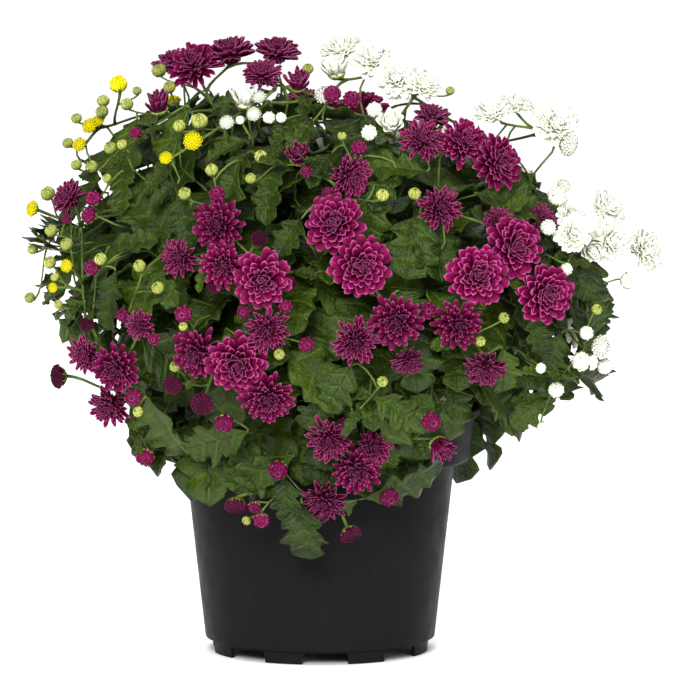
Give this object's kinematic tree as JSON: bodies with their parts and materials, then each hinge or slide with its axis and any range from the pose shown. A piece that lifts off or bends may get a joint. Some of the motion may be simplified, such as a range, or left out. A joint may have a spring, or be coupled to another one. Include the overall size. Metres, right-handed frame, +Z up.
{
  "type": "pot chrysanthemum",
  "caption": "Potted garden chrysanthemum: a rounded crown of double purple, white and yellow blooms and buds over lobed leaves, standing in a round tapered black nursery pot.",
  "frame": {"origin": "centre of the pot's underside, on the surface that the pot stands on", "axes": "+Z up along the pot's axis, -Y towards the side that the picture shows, +X to its right"},
  "size_m": [0.3725, 0.3503, 0.3691],
  "materials": {
    "pot": "satin black moulded plastic",
    "soil": "dark crumbly potting soil",
    "leaf": "soft green leaf, paler and duller underneath",
    "purple_petals": "velvety crimson purple with paler edges and backs",
    "white_petals": "soft white, greenish yellow towards the middle",
    "yellow_petals": "bright yellow"
  },
  "bodies": {
    "root": {"pot": "pot", "purple_blooms_01": "purple_petals", "purple_blooms_02": "purple_petals", "purple_blooms_03": "purple_petals", "purple_blooms_04": "purple_petals", "purple_blooms_05": "purple_petals", "purple_blooms_06": "purple_petals", "purple_blooms_07": "purple_petals", "purple_blooms_08": "purple_petals", "purple_blooms_09": "purple_petals", "purple_blooms_10": "purple_petals", "purple_blooms_11": "purple_petals", "purple_blooms_12": "purple_petals", "purple_blooms_13": "purple_petals", "purple_blooms_14": "purple_petals", "purple_blooms_15": "purple_petals", "purple_blooms_16": "purple_petals", "purple_blooms_17": "purple_petals", "purple_blooms_18": "purple_petals", "purple_blooms_19": "purple_petals", "purple_blooms_20": "purple_petals", "purple_blooms_21": "purple_petals", "purple_blooms_22": "purple_petals", "purple_blooms_23": "purple_petals", "purple_blooms_24": "purple_petals", "purple_blooms_25": "purple_petals", "purple_blooms_26": "purple_petals", "purple_blooms_27": "purple_petals", "purple_blooms_28": "purple_petals", "purple_blooms_29": "purple_petals", "purple_blooms_30": "purple_petals", "purple_blooms_31": "purple_petals", "soil": "soil", "spray_purple_back": "leaf", "spray_purple_front": "leaf", "spray_purple_left": "leaf", "spray_purple_low": "leaf", "spray_purple_middle": "leaf", "spray_purple_right": "leaf", "spray_purple_top": "leaf", "spray_white_back": "leaf", "spray_white_right": "leaf", "spray_white_top": "leaf", "spray_yellow_back": "leaf", "spray_yellow_left": "leaf", "white_blooms_01": "white_petals", "white_blooms_02": "white_petals", "white_blooms_03": "white_petals", "white_blooms_04": "white_petals", "white_blooms_05": "white_petals", "white_blooms_06": "white_petals", "white_blooms_07": "white_petals", "white_blooms_08": "white_petals", "white_blooms_09": "white_petals", "white_blooms_10": "white_petals", "white_blooms_11": "white_petals", "white_blooms_12": "white_petals", "yellow_blooms_01": "yellow_petals", "yellow_blooms_02": "yellow_petals", "yellow_blooms_03": "yellow_petals"}
  },
  "joints": []
}
